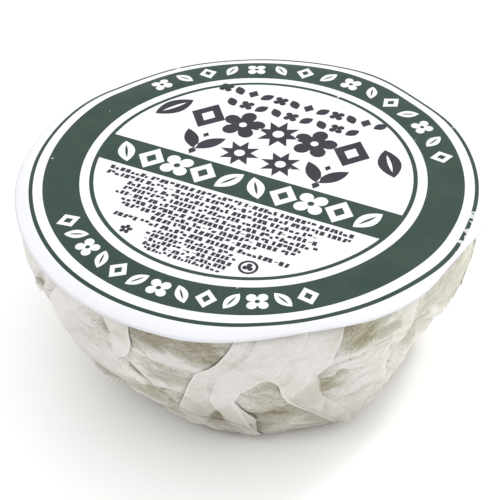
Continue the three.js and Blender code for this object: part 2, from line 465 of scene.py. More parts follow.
def per_millimetre(runs):
    """How many degrees of azimuth one mm of sheet takes at each run."""
    return 360 / (TURN * np.maximum(outline_at(runs)[0], FOOT_RADIUS))


def lay_panels(runs):
    """The panels in order round the body: a hidden one, a showing one and so on."""
    degrees = per_millimetre(runs)
    count = len(FOLDS)
    ranks = [rank for rank, *_ in FOLDS]
    depths = [np.maximum(along_runs(depth, runs), 0) for *_, depth in FOLDS]
    opened = [smooth(depth / FULLY_OPENED) for depth in depths]
    falls = [ranks[index - 1] > ranks[index] for index in range(count)]
    ends, starts = [], []
    for index, (_, _, edge, _) in enumerate(FOLDS):
        edge = along_runs(edge, runs)
        tucked = depths[index] * degrees
        slack = SLACK * (1 - opened[index]) * degrees
        ends.append(edge - slack if falls[index] else edge + tucked - slack)
        starts.append(edge - tucked + slack if falls[index] else edge + slack)
    for index in range(count):
        following = (index + 1) % count
        wide = ends[following] + (360 if following == 0 else 0) - starts[index]
        short = np.maximum(NARROWEST - wide, 0) / 2
        starts[index] = starts[index] - short
        ends[following] = ends[following] + short
    panels = []
    for index in range(count):
        following = (index + 1) % count
        end = ends[following] + (360 if following == 0 else 0)
        hidden_rank = (ranks[index - 1] + ranks[index]) / 2
        hidden = max(depths[index].max(), 1)
        panels.append(Panel(ends[index], starts[index], hidden_rank, opened[index], hidden, HIDDEN_COLUMN))
        longest = ((end - starts[index]) / degrees).max()
        panels.append(Panel(starts[index], end, ranks[index], np.ones_like(runs), longest, COLUMN))
    for index, (_, lift, *_) in enumerate(FOLDS):
        upper = panels[(2 * index - 1) % len(panels)] if falls[index] else panels[2 * index + 1]
        edge = ends[index] if falls[index] else starts[index]
        rise = lift * (0.8 + 0.5 * np.sin(runs / 2.3 + index * 2.1)) * opened[index]
        for panel in (upper, panels[2 * index]):
            panel.free_edges.append((edge, rise, opened[index]))
    return panels


def cover(panel, azimuth, degrees, reach):
    """1 where the panel lies at this azimuth, falling to 0 over reach mm outside it."""
    low = np.minimum(panel.start, panel.end)[:, None]
    high = np.maximum(panel.start, panel.end)[:, None]
    middle = (low + high) / 2
    azimuth = middle + angle_between(azimuth, middle)
    inside = smooth(1 + (azimuth - low) / (reach * degrees))
    return inside * smooth(1 + (high - azimuth) / (reach * degrees)) * panel.developed[:, None]


def stack(panels, runs):
    """For each panel: plies under it, bridged for its shape and sharp for its tone, and the painted highlight
    along its free edges.
    """
    degrees = per_millimetre(runs)[:, None]
    count = len(panels)
    shapes, tones, nears = [], [], []
    for index, panel in enumerate(panels):
        azimuth = panel.azimuths()
        under, sharp, rise, near = (np.zeros_like(azimuth) for _ in range(4))
        for other_index, other in enumerate(panels):
            if other.rank >= panel.rank:
                continue
            side = {1: 1, 2: 1, count - 1: -1, count - 2: -1}.get((other_index - index) % count)
            between = 1.0
            if side:
                between = panels[(index + side) % count if index % 2 else index].developed[:, None]
            under += cover(other, azimuth, degrees, BRIDGE) * between
            sharp += cover(other, azimuth, degrees, 1.0) * between
        for edge, amount, opened in panel.free_edges:
            away = np.abs(angle_between(azimuth, edge[:, None])) / degrees
            rise += amount[:, None] * np.exp(-away / LIFT_REACH)
            # near: how strongly the painted highlight along the panel's free edges shows here
            near = np.maximum(near, opened[:, None] * np.clip(1 - away / FOLD_HIGHLIGHT_REACH, 0, 1))
        shapes.append(under + rise / PLY)
        tones.append(sharp)
        nears.append(near)
    return shapes, tones, nears


def joined(parts, meet):
    """All panels side by side, where meet settles the column that two neighbours share."""
    columns = []
    for index, part in enumerate(parts):
        columns += [meet(part[:, 0], parts[index - 1][:, -1])[:, None], part[:, 1:-1]]
    return np.concatenate(columns, 1)


def quads(rows, columns):
    """Quads of a grid that closes on itself across its columns, facing out."""
    row, column = np.mgrid[0 : rows - 1, 0:columns]
    a = row * columns + column
    b = row * columns + (column + 1) % columns
    return np.stack([a, b, b + columns, a + columns], -1).reshape(-1, 4)


def new_object(name, points, faces):
    mesh = bpy.data.meshes.new(name)
    mesh.from_pydata((points * MM).tolist(), [], [list(map(int, face)) for face in faces])
    mesh.validate()
    mesh.update()
    made = bpy.data.objects.new(name, mesh)
    bpy.context.scene.collection.objects.link(made)
    mesh.polygons.foreach_set("use_smooth", [name != "floor"] * len(mesh.polygons))
    return made


def point_values(piece, name, values, kind="FLOAT", field="value"):
    layer = piece.data.attributes.new(name, kind, "POINT")
    layer.data.foreach_set(field, np.asarray(values, np.float32).ravel())


def bake_chart(mesh, uv):
    mesh.uv_layers.new(name="OFBake").data.foreach_set("uv", uv.astype(np.float32).ravel())


# How closely the paper clings to the soap
CLING_MEAN = 0.12
CLING_ON_FOOT = 0.42
CREAM_ON_FOOT = 0.3
SPOT_FALL = 1.3

# Where one ply lies tight on the soap and shows it darkest: spots
TIGHT = (
    (-112.5, 25.6, 7, 2.4, 1.05),
    (-101.5, 23.9, 5, 3.0, 1.2),
    (-137, 9, 13, 6, 0.4),
    (-103.5, 9.5, 6, 4, 1.1),
    (-88, 10, 8, 9, 0.52),
    (-87, 15, 5, 3, 0.25),
    (-66, 25.5, 7, 3.6, 0.95),
    (-73.5, 15.8, 5.5, 2.2, 0.55),
    (-77.5, 13.4, 4.5, 2.2, 0.6),
    (-60, 10, 8, 6, -0.4),
    (-64, 20.5, 9, 1.2, -0.5),
    (-108, 21.5, 9, 1.3, -0.4),
    (-122.5, 20.5, 2.5, 2.5, 0.15),
    (-120, 12, 5, 3, 0.55),
    (-112, 17.5, 8, 2.5, 0.3),
    (-135, 21, 13, 8, -0.45),
    (-131, 18, 9, 5, -0.4),
    (-125.5, 23.6, 2, 1.2, 0.9),
    (-121.5, 23.8, 1.6, 1.0, 0.5),
    (-148.5, 23.2, 3.5, 2.2, 0.7),
    (-82, 4.2, 6, 3, -0.5),
    (-80, 2.0, 9, 2.2, -0.9),
    (-58, 23.5, 7, 1.8, 0.4),
    (-50, 17, 3, 4, 0.5),
    (-158, 21, 7, 3, 0.45),
    (-30, 22, 12, 6, 0.35),
    (-118, 2, 20, 2.2, 0.35),
)

# Where the soap's pale green comes through near the front: spots
CREAMY = (
    (-122.8, 14, 3.6, 2.4, 0.75),
    (-118, 10.5, 6, 2, 0.45),
    (-112, 20.5, 7, 1.8, 0.4),
    (-107, 11, 3, 3, 0.4),
    (-102, 3, 12, 1.6, 0.5),
    (-87, 10, 8, 8, 0.5),
    (-71, 16, 5, 3, 0.5),
    (-65, 25, 6, 3, 0.6),
)


def beyond_foot(run, values, on_foot):
    share = smooth((run - FOOT_RUN + 1.5) / 1.5)
    return np.clip(values * share + on_foot * (1 - share), 0, 1)


def clinging_and_foot_shade(azimuth, run, heights):
    # The term that grows below 9 mm high is painted shade, darker towards the foot
    total = CLING_MEAN + 0.12 * waves(azimuth / 360, run, 61, 7) + 0.25 * smooth((9 - heights) / 9)
    total += spots(TIGHT, azimuth, heights, SPOT_FALL)
    behind = smooth((np.abs(angle_between(azimuth, 80)) - 118) / -14)
    total += 0.55 * behind * smooth(0.2 + 0.9 * waves(azimuth / 360, run, 67, 7))
    return beyond_foot(run, total, CLING_ON_FOOT)


def creamy(azimuth, run, heights):
    """Where the soap's pale green comes through most: all round the right side, and in spots elsewhere."""
    right = smooth(1 - np.abs(angle_between(azimuth, -18)) / 46) * smooth((heights - 3) / 12)
    total = right + 0.25 * waves(azimuth / 360, run, 71, 6) + spots(CREAMY, azimuth, heights, SPOT_FALL)
    return beyond_foot(run, total, CREAM_ON_FOOT)


# The sheet's chart is two strips, one above the other, each half way round the body
STRIP_STEP = 1.02
CHART_EDGE = 0.004


def unroll(mesh, runs, columns):
    half = math.ceil(columns / 2)

    def chart(column, across, climb):
        strip = column // half
        u = (column - strip * half)[:, None] + across
        v = climb / END_RUN + strip[:, None] * STRIP_STEP
        return np.stack([u / half, v / (1 + STRIP_STEP)], -1).reshape(-1, 2)

    row, column = (index.ravel() for index in np.mgrid[0 : len(runs) - 1, 0:columns])
    sides = chart(column, np.array([0, 1, 1, 0]), runs[row[:, None] + np.array([0, 0, 1, 1])])
    foot = chart(np.arange(columns), np.array([0, 0.5, 1]), np.array([[runs[0], 0, runs[0]]]))
    bake_chart(mesh, CHART_EDGE + (1 - 2 * CHART_EDGE) * np.concatenate([sides, foot]))


FOOT_ROWS = (8, 13, 17, 19.5)
GROOVE_DEPTH = 0.8
LOWEST = 0.03


def make_wrap():
    runs = np.concatenate([FOOT_ROWS, np.linspace(FOOT_RUN, END_RUN, math.ceil((END_RUN - FOOT_RUN) / ROW))])
    panels = lay_panels(runs)
    shapes, tones, nears = stack(panels, runs)
    azimuth = np.concatenate([panel.azimuths()[:, :-1] for panel in panels], 1)
    under = joined(shapes, lambda one, other: (one + other) / 2)
    tone = joined(tones, np.maximum)
    near = joined(nears, np.maximum)
    rows, columns = azimuth.shape
    run = np.broadcast_to(runs[:, None], azimuth.shape)
    climb = smooth((run - FOOT_RUN) / 3)
    over_top = smooth((run - RIM_RUN) / 5)
    ply = PLY * (1 - over_top) + PLY_PRESSED * over_top

    # Facets of three sizes: how many in a turn, how tall in mm, seed and slant
    coarse = 0.6 * facets(azimuth, run, 17, 8.0, 11, 0.35)
    middle = 0.42 * facets(azimuth, run, 27, 3.1, 23, -0.4)
    wrinkles = middle + 0.26 * facets(azimuth, run, 45, 1.2, 37, 0.5)
    step, hang = crease_steps(azimuth, run)
    creases = CREASE_HEIGHT * crease_lines(azimuth, run, ALL_CREASES) + step
    grooves = crease_lines(azimuth, run, ALL_GROOVES)
    # field: painted shade along the grooves and the steps, which darkens the colour
    field = crease_lines(azimuth, run, PAINTED_SHADE_LINES, np.maximum)
    top_plies = smooth(tone / 1.6)
    calm = 1 - 0.3 * top_plies
    lines = coarse * calm + wrinkles * (1 - 0.7 * top_plies) + creases * calm
    lines = (lines - GROOVE_DEPTH * grooves) * (0.12 + 0.88 * climb) * (1 - over_top)
    lines = np.where(run < FOOT_RUN + 1, -np.abs(lines), lines)
    points = on_body(azimuth, run - hang * climb * (1 - over_top), under * ply + lines)
    points[..., 2] = np.clip(points[..., 2], LOWEST, None)
    centre = [RIM_SHIFT + LEAN * SKIN_TOP, 0, LOWEST]
    fan = [(column, rows * columns, (column + 1) % columns) for column in range(columns)]
    wrap = new_object("paper_wrap", np.append(points, centre).reshape(-1, 3), [*quads(rows, columns), *fan])
    unroll(wrap.data, runs, columns)

    heights = outline_at(run)[1]
    # The relief also sets the colour: darker in valleys and lighter on ridges, partly painted shade and
    # highlight
    relief = wrinkles * (1 - 0.6 * top_plies) + creases * calm
    for name, values, at_centre in (
        ("plies", tone, 0),
        ("relief", relief * (1 - over_top), 0),
        ("fold_edge_highlight", near * (1 - over_top), 0),
        ("painted_line_shade", field * (1 - over_top) * climb, 0),
        ("cling_and_foot_shade", clinging_and_foot_shade(azimuth, run, heights), CLING_ON_FOOT),
        ("cream", creamy(azimuth, run, heights), CREAM_ON_FOOT),
    ):
        point_values(wrap, name, np.append(values, at_centre))
    points[..., 2] += drift(azimuth)
    point_values(wrap, "grain", np.append(points, centre) * MM, "FLOAT_VECTOR", "vector")
    return wrap


# ---------------------------------------------------------------- cut of the label
# How far the hand-cut edge lies inside a true circle: azimuth, mm
CUT = (
    (-180, 0.0), (-135, 0.1), (-112, 0.0), (-105, -0.1), (-99, 0.05), (-95, 0.25), (-90, 0.5), (-85, 0.75),
    (-79, 0.95), (-72, 0.75), (-64, 0.3), (-57, 0.35), (-51, 0.5), (-46, 0.9), (-41, 1.35), (-36, 1.55),
    (-32, 1.5), (-27, 0.95), (-22, 0.35), (-14, 0.0), (20, 0.1), (64, 0.3), (110, 0.0), (150, 0.2), (180,
    0.0),
)


def cut_radius(azimuth):
    places, insets = np.array(CUT).T
    return LABEL_RADIUS - np.interp(angle_between(azimuth, 0), places, insets)


# ---------------------------------------------------------------- print of the label
# Lengths here are shares of the outer printed line's radius, in a frame turned with the print.
PRINT_RADIUS = LABEL_RADIUS / 1.072
PRINT_TURN = math.radians(-26.5)
OUTER_LINE = (0.988, 1.006)
RING = (0.781, 0.945)
INNER_LINE = (0.7185, 0.738)
BAND = (-0.205, -0.015)
RIM_POINTS = 240
RING_ROW = (0.865, 0.108)
GRID_STEP = 0.042
GRID_REACH = 0.975


def turned(loop, degrees):
    c, s = math.cos(math.radians(degrees)), math.sin(math.radians(degrees))
    return loop @ np.array([[c, s], [-s, c]])


def circle(radius, count):
    angle = np.arange(count) * TURN / count
    return radius * np.stack([np.cos(angle), np.sin(angle)], -1)


def edge_loop(share):
    """A closed loop in the margin: share 0 lies on the outer printed line and share 1 on the cut."""
    angle = np.arange(RIM_POINTS) * TURN / RIM_POINTS
    cut = cut_radius(np.degrees(angle + PRINT_TURN)) / PRINT_RADIUS
    return (OUTER_LINE[1] + share * (cut - OUTER_LINE[1]))[:, None] * circle(1, RIM_POINTS)


def petals(count, waist, turn):
    angle = np.arange(count * 10) * TURN / (count * 10)
    radius = 0.5 * (waist + (1 - waist) * np.abs(np.cos(count * angle / 2)) ** 0.7)
    return turned(radius[:, None] * circle(1, count * 10), turn)


def star(points, waist):
    loop = circle(0.5, points * 2)
    loop[1::2] *= waist
    return turned(loop, 90)


def leaf(width, tilt):
    t = np.linspace(0, 1, 9)
    half = width / 2 * np.sin(math.pi * t) ** 0.85
    right = np.stack([half, t - 0.5], -1)[:-1]
    left = np.stack([-half, t - 0.5], -1)[:0:-1]
    return turned(np.concatenate([right, left]), tilt)


def lozenge(width, height):
    return np.array([(0, -height / 2), (width / 2, 0), (0, height / 2), (-width / 2, 0)])


def moved(loop, x, y, scale=1.0):
    return loop * scale + (x, y)


# Generic ornaments, each a set of loops in a cell one high; a loop inside another is a hole
FLOWER = [petals(4, 0.42, 45), circle(0.1, 10)]
BLOSSOM = [petals(5, 0.5, 90), circle(0.09, 10)]
SPARKLE = [star(8, 0.52), circle(0.13, 12)]
DIAMOND = [lozenge(0.84, 1.0), lozenge(0.34, 0.42)]
SPRAY = [
    moved(leaf(0.40, 38), -0.24, 0.04, 0.86),
    moved(leaf(0.40, -38), 0.24, 0.04, 0.86),
    moved(lozenge(0.2, 0.3), 0, -0.38),
    moved(lozenge(0.16, 0.22), 0, 0.32),
]
LEAF_RIGHT, LEAF_LEFT = ([leaf(0.5, tilt), leaf(0.13, tilt) * 0.62] for tilt in (-32, 32))
BUD = [lozenge(0.72, 0.9)]
SMALL_LEAF_RIGHT, SMALL_LEAF_LEFT = ([leaf(0.62, tilt)] for tilt in (-38, 38))
SMALL_FLOWER = [petals(4, 0.5, 45)]

RING_TOP = ([FLOWER, LEAF_LEFT, DIAMOND, LEAF_RIGHT] * 4)[:15]
RING_FOOT = [DIAMOND, LEAF_RIGHT, FLOWER, LEAF_LEFT] * 3 + [DIAMOND]
# Rows across the label: ornaments, left and right end, foot and top
STRAIGHT_ROWS = (
    ([LEAF_LEFT, DIAMOND, FLOWER, DIAMOND, LEAF_RIGHT] * 2, -0.665, 0.665, -0.190, -0.030),
    ([LEAF_RIGHT, DIAMOND, BLOSSOM, SPARKLE, BLOSSOM, DIAMOND, LEAF_LEFT], -0.67, 0.63, 0.203, 0.418),
    ([SPRAY, SPARKLE, SPARKLE, SPRAY], -0.43, 0.40, 0.0, 0.198),
    ([SMALL_FLOWER, SMALL_LEAF_LEFT, BUD, SMALL_LEAF_RIGHT] * 3, -0.46, 0.43, 0.53, 0.608),
    ([SMALL_LEAF_LEFT, SMALL_FLOWER, SMALL_LEAF_RIGHT] * 3, -0.38, 0.33, 0.427, 0.505),
)
# Rows of small marks: height of the row, half its width, height of a mark
SMALL_ROWS = (
    (-0.24, 0.6, 0.0265),
    (-0.277, 0.6, 0.0265),
    (-0.314, 0.47, 0.0265),
    (-0.35, 0.47, 0.0265),
    (-0.386, 0.485, 0.0265),
    (-0.42, 0.435, 0.0265),
    (-0.453, 0.42, 0.0265),
    (-0.487, 0.25, 0.0265),
    (-0.524, 0.415, 0.0265),
    (-0.558, 0.2, 0.0235),
    (-0.588, 0.22, 0.0235),
    (-0.617, 0.21, 0.0235),
    (-0.646, 0.2, 0.0235),
    (-0.673, 0.18, 0.0215),
)


def straight_row(ornaments, x_low, x_high, y_low, y_high):
    cell = (x_high - x_low) / len(ornaments)
    loops = []
    for index, ornament in enumerate(ornaments):
        x = x_low + (index + 0.5) * cell
        loops += [moved(loop, x, (y_low + y_high) / 2, y_high - y_low) for loop in ornament]
    return loops


def curved_row(ornaments, start, end):
    """Ornaments along the ring, from start to end in degrees; a falling angle turns their feet inward."""
    radius, height = RING_ROW
    loops = []
    for index, ornament in enumerate(ornaments):
        angle = start + (index + 0.5) * (end - start) / len(ornaments)
        outward = -90 if end < start else 90
        centre = radius * np.array([math.cos(math.radians(angle)), math.sin(math.radians(angle))])
        loops += [turned(loop * height, angle + outward) + centre for loop in ornament]
    return loops


def small_print(y, half_width, tall, draw):
    """A row of small plain marks in groups, as dense as small print but not letters."""
    loops = []
    x = -half_width
    while x < half_width:
        for _ in range(draw.integers(4, 11)):
            wide = tall * draw.uniform(0.5, 0.85)
            if x + wide > half_width:
                return loops
            low = y - tall / 2 + (tall * 0.4 if draw.random() < 0.2 else 0)
            high = y + tall / 2 - (tall * 0.4 if draw.random() < 0.2 else 0)
            slope = draw.uniform(-0.3, 0.3) * wide
            loops.append(np.array([(x, low), (x + wide, low), (x + wide + slope, high), (x + slope, high)]))
            x += wide + tall * 0.22
        x += tall * 0.4
    return loops


def print_loops():
    draw = np.random.default_rng(5)
    loops = curved_row(RING_TOP, 152, 28) + curved_row(RING_FOOT, 226, 314)
    for row in STRAIGHT_ROWS:
        loops += straight_row(*row)
    for row in SMALL_ROWS:
        loops += small_print(*row, draw)
    loops += [moved(loop, -0.31, -0.6, 0.06) for loop in BLOSSOM]
    rings = ((circle(0.5, 24), 0.085), (circle(0.36, 20), 0.085), (petals(3, 0.4, 90), 0.05))
    return loops + [moved(loop, 0.27, -0.6, scale) for loop, scale in rings]


def inked_triangles():
    """Triangles of the label's top with their inks: 0 bare paper, 1 green, 2 slate."""
    points, edges, faces = [], [], []

    def add_loop(loop, as_face):
        first, count = len(points), len(loop)
        points.extend(map(tuple, loop))
        if as_face:
            faces.append(list(range(first, first + count)))
        else:
            edges.extend((first + i, first + (i + 1) % count) for i in range(count))

    add_loop(edge_loop(1), True)
    for radius in (*OUTER_LINE, *RING, *INNER_LINE):
        add_loop(circle(radius, RIM_POINTS), False)
    for y in BAND:
        half = math.sqrt((sum(INNER_LINE) / 2) ** 2 - y**2)
        edges.append((len(points), len(points) + 1))
        points.extend([(-half, y), (half, y)])
    for loop in print_loops():
        add_loop(loop, True)
    for share in (0.2, 0.4, 0.6, 0.8):
        points.extend(map(tuple, edge_loop(share)))
    for row in range(-24, 25):
        for column in range(-24, 25):
            x, y = (column + 0.5 * (row % 2)) * GRID_STEP, row * GRID_STEP * 0.866
            if math.hypot(x, y) < GRID_REACH:
                points.append((x, y))
    vectors = [Vector(point) for point in points]
    found, _, triangles, _, _, origins = delaunay_2d_cdt(vectors, edges, faces, 1, 1e-6, True)
    flat = np.array([tuple(v) for v in found])
    corners = np.array(triangles)
    middle = flat[corners].mean(1)
    radius = np.hypot(*middle.T)
    printed = np.array([sum(1 for face in origin if face > 0) % 2 for origin in origins], bool)

    def between(values, limits):
        return (values > limits[0]) & (values < limits[1])

    field = between(radius, RING) | (radius < INNER_LINE[0]) & between(middle[:, 1], BAND)
    ink = np.where(field, np.where(printed, 0, 1), np.where(printed, 2, 0))
    return flat, corners, np.where(between(radius, INNER_LINE) | between(radius, OUTER_LINE), 1, ink)


# ---------------------------------------------------------------- label
LABEL_THICK = 0.12
LABEL_RISE = 0.12
DROOP = 0.72
# How the rim of the label is pressed down: azimuth, reach, extra droop in mm
DROOPS = ((98, 34, 0.75), (124, 12, 0.4), (36, 12, 0.35), (-38, 20, 0.3), (-140, 26, 0.55), (-108, 16, 0.3))
# Where the rim stands up a little instead: azimuth, reach, mm
LIFTED = (-60, 28, 0.3)
# How sharply the rim turns down, and where it turns more sharply: azimuth, reach, increase
DROOP_CURVE = 1.8
SHARPER = (-118, 26, 1.4)
# Where the print is scuffed: azimuth, share of the print's radius, reach round, reach across, strength
WORN = (
    (-29, 1.0, 7, 0.03, 1.0),
    (-19, 1.0, 4, 0.03, 0.45),
    (3, 0.99, 4, 0.03, 0.7),
    (-52, 0.93, 3, 0.02, 0.5),
)
# Rings of the underside, as shares of the rim's radius
UNDER_RINGS = (1.0, 0.97, 0.94, 0.9, 0.8, 0.6, 0.35)
# Places in the bake chart: middle and half width of the top's and the underside's
TOP_CHART = (0.5, 0.495)
UNDER_CHART = (0.075, 0.065)


def label_height(x, y):
    """Top of the label above a point of it, in mm."""
    radius = np.hypot(x, y)
    azimuth = np.degrees(np.arctan2(y, x))

    def around(centre, reach, amount):
        return amount * np.exp(-((angle_between(azimuth, centre) / reach) ** 2))

    droop = DROOP + sum(around(*row) for row in DROOPS)
    droop += 0.05 * np.sin(np.radians(azimuth * 5 + 20)) + 0.04 * np.sin(np.radians(azimuth * 11 + 80))
    cut = cut_radius(azimuth)
    start = cut - np.minimum(2.6, 0.4 + cut - PRINT_RADIUS) - 9 * np.clip(droop - 0.75, 0, 0.5)
    over = np.clip((radius - start) / (cut - start), 0, 1)
    lifted = around(*LIFTED) * smooth((radius - 20) / 9)
    swell = 0.5 + 0.25 * np.sin(x / 6.1 + 0.8) * np.sin(y / 5.3 + 0.4) + 0.2 * np.sin((x + y) / 3.7)
    hollow = LABEL_RISE * np.clip(swell, 0, 1) * smooth((cut - radius) / 6)
    return TOP - hollow + lifted - droop * over ** (DROOP_CURVE + around(*SHARPER))


def make_label():
    flat, corners, ink = inked_triangles()
    x, y = turned(flat, math.degrees(PRINT_TURN)).T * PRINT_RADIUS
    radius, azimuth = np.hypot(x, y), np.degrees(np.arctan2(y, x))
    top = np.stack([x, y, label_height(x, y)], -1)

    rim_ids = np.nonzero(radius > cut_radius(azimuth) - 0.01)[0]
    rim_ids = rim_ids[np.argsort(np.arctan2(flat[rim_ids, 1], flat[rim_ids, 0]))]
    count = len(rim_ids)
    under = np.concatenate([top[rim_ids] * (share, share, 1) for share in UNDER_RINGS] + [np.zeros((1, 3))])
    under[:, 2] = label_height(under[:, 0], under[:, 1]) - LABEL_THICK
    first = len(top)
    last = first + (len(UNDER_RINGS) - 1) * count
    faces = [list(corner) for corner in corners]
    for a in range(first, last, count):
        for i in range(count):
            j = (i + 1) % count
            faces.append([a + j, a + i, a + count + i, a + count + j])
    faces += [[last + (i + 1) % count, last + i, last + count] for i in range(count)]
    wall_from = len(faces)
    rim = [*rim_ids, rim_ids[0]]
    faces += [[rim[i], first + i, first + (i + 1) % count, rim[i + 1]] for i in range(count)]

    label = new_object("printed_label", np.concatenate([top, under]), faces)
    mesh = label.data
    inks = mesh.color_attributes.new("ink", "FLOAT_COLOR", "CORNER")
    colours = np.zeros((len(mesh.loops), 4), np.float32)
    colours[:, 3] = 1
    for channel in (0, 1):
        colours[: 3 * len(corners), channel] = np.repeat(ink == channel + 1, 3)
    inks.data.foreach_set("color", colours.ravel())
    wear = spots(WORN, azimuth, radius / PRINT_RADIUS)
    point_values(label, "wear", np.append(wear, np.zeros(len(under))))

    places = np.array([mesh.vertices[loop.vertex_index].co[:2] for loop in mesh.loops]) / MM / LABEL_RADIUS
    uv = TOP_CHART[0] + TOP_CHART[1] * places
    uv[3 * len(corners) :] = UNDER_CHART[0] + UNDER_CHART[1] * places[3 * len(corners) :]
    bake_chart(mesh, uv)
    for face in mesh.polygons[wall_from:]:
        face.use_smooth = False
    return label


# ---------------------------------------------------------------- materials
class Nodes:
    """Short names for building a node material."""

    def __init__(self, name):
        self.material = bpy.data.materials.new(name)
        self.material.use_nodes = True
        self.tree = self.material.node_tree
        self.tree.nodes.clear()

    def add(self, kind, **inputs):
        node = self.tree.nodes.new("ShaderNode" + kind)
        for name, value in inputs.items():
            self.set(node.inputs[name.replace("_", " ")], value)
        return node

    def set(self, socket, value):
        if isinstance(value, bpy.types.NodeSocket):
            self.tree.links.new(value, socket)
        else:
            socket.default_value = value

    def math(self, operation, a, b, clamp=False):
        node = self.add("Math")
        node.operation, node.use_clamp = operation, clamp
        self.set(node.inputs[0], a)
        self.set(node.inputs[1], b)
        return node.outputs[0]

    def plus(self, a, b):
        return self.math("ADD", a, b)

    def times(self, a, b, clamp=False):
        return self.math("MULTIPLY", a, b, clamp)

    def swing(self, value, amount):
        """A noise of mean 0.5 turned into one about 0, times amount."""
        return self.times(self.math("SUBTRACT", value, 0.5), amount)

    def mix(self, share, a, b, blend="MIX"):
        node = self.add("Mix")
        node.data_type, node.blend_type = "RGBA", blend
        for index, value in ((0, share), (6, a), (7, b)):
            self.set(node.inputs[index], (*value, 1) if isinstance(value, tuple) else value)
        return node.outputs[2]

    def tinted(self, colour, share, tint):
        return self.mix(share, colour, self.mix(1.0, colour, tint, "MULTIPLY"))

    def ramp(self, value, *stops):
        node = self.add("ValToRGB", Fac=value)
        elements = node.color_ramp.elements
        for _ in range(len(stops) - 2):
            elements.new(0.5)
        for element, (position, colour) in zip(elements, stops):
            element.position = position
            element.color = (*colour, 1)
        return node.outputs[0]

    def stretch(self, value, low, high):
        return self.add("MapRange", Value=value, From_Min=low, From_Max=high).outputs[0]

    def attribute(self, name, output="Fac"):
        node = self.add("Attribute")
        node.attribute_name = name
        return node.outputs[output]

    def noise(self, scale, detail, rough, where, distort=0.0):
        inputs = {"Scale": scale, "Detail": detail, "Roughness": rough, "Distortion": distort}
        return self.add("TexNoise", Vector=where, **inputs).outputs["Fac"]

    def along_grain(self, scale):
        return self.add("Mapping", Vector=self.attribute("grain", "Vector"), Scale=scale).outputs[0]

    def place(self):
        return self.add("TexCoord").outputs["Object"]

    def bump(self, height, distance, strength, normal=None):
        node = self.add("Bump", Height=height, Distance=distance, Strength=strength)
        if normal is not None:
            self.set(node.inputs["Normal"], normal)
        return node.outputs[0]

    def finish(self, **inputs):
        shader = self.add("BsdfPrincipled", **inputs)
        self.add("OutputMaterial", Surface=shader.outputs[0])
        return self.material


def greaseproof_material():
    n = Nodes("greaseproof_paper")
    where = n.place()
    level = n.along_grain((1, 1, 1.9))
    close = n.along_grain((1, 1, 1.3))
    single = n.math("SUBTRACT", 1.0, n.stretch(n.attribute("plies"), 0.15, 1.1), True)
    soft = n.plus(n.times(single, 0.75), 0.25)
    mottle = n.noise(1500, 5, 0.7, close, 0.9)

    # The clinging attribute also carries painted shade towards the foot
    tight = n.plus(n.attribute("cling_and_foot_shade"), n.swing(n.noise(260, 5, 0.62, level, 0.9), 1.1))
    tight = n.plus(tight, n.swing(mottle, 1.1))
    tight = n.plus(tight, n.swing(n.noise(3800, 3, 0.7, close), 1.0))
    # Partly painted shade and highlight: darker in the valleys of the wrinkles and creases and lighter on
    # their ridges; in part also the paper lying on the soap in the valleys
    tight = n.math("SUBTRACT", tight, n.times(n.attribute("relief"), 0.95))
    tight = n.times(tight, n.plus(n.times(single, 0.64), 0.36), True)
    colour = n.ramp(
        tight,
        (0.0, (0.685, 0.66, 0.635)),
        (0.3, (0.53, 0.51, 0.46)),
        (0.65, (0.40, 0.38, 0.315)),
        (1.0, (0.27, 0.235, 0.165)),
    )
    colour = n.tinted(colour, n.times(n.attribute("cream"), 0.8), (1.17, 1.195, 1.045))
    # Painted highlight: the paper is lighter along the free edges of the folds, where a fold catches the
    # light
    lit = n.stretch(n.plus(n.attribute("fold_edge_highlight"), n.swing(mottle, 0.5)), 0.72, 0.95)
    colour = n.mix(n.times(lit, 0.6), colour, (0.80, 0.79, 0.76))
    # Painted shade: dark along the bottoms of the grooves and along the step lines, where the creases shade
    # themselves
    painted_line_shade = n.plus(n.attribute("painted_line_shade"), n.swing(n.noise(700, 3, 0.6, where), 0.35))
    colour = n.mix(n.times(n.stretch(painted_line_shade, 0.52, 0.86), 0.85), colour, (0.19, 0.155, 0.11))
    # Painted shade: the paper is darker and browner towards the foot
    height = n.add("SeparateXYZ", Vector=where).outputs[2]
    colour = n.tinted(colour, n.times(n.stretch(height, 0.014, 0.0), 0.95), (0.74, 0.71, 0.65))
    speck = n.times(n.math("GREATER_THAN", n.noise(1300, 1, 0.4, where), 0.76), single)
    colour = n.mix(n.times(speck, 0.55), colour, (0.12, 0.12, 0.09))

    fold = n.add("TexNoise", Vector=level)
    fold.noise_type = "RIDGED_MULTIFRACTAL"
    fold.inputs["Scale"].default_value = 330
    fold.inputs["Detail"].default_value = 4
    rumple = n.add("TexVoronoi", Scale=420.0, Vector=level)
    rumple.feature = "DISTANCE_TO_EDGE"
    creased = n.math("MINIMUM", rumple.outputs["Distance"], 0.16)
    normal = n.bump(n.times(creased, soft), 0.0012, 0.6)
    normal = n.bump(n.times(fold.outputs["Fac"], soft), 0.00014, 0.5, normal)
    normal = n.bump(n.noise(2600, 3, 0.6, where), 0.00004, 0.5, normal)
    rough = n.stretch(n.noise(300, 3, 0.5, where), -0.6, 1.8)
    return n.finish(Base_Color=colour, Normal=normal, Roughness=rough, IOR=1.42)


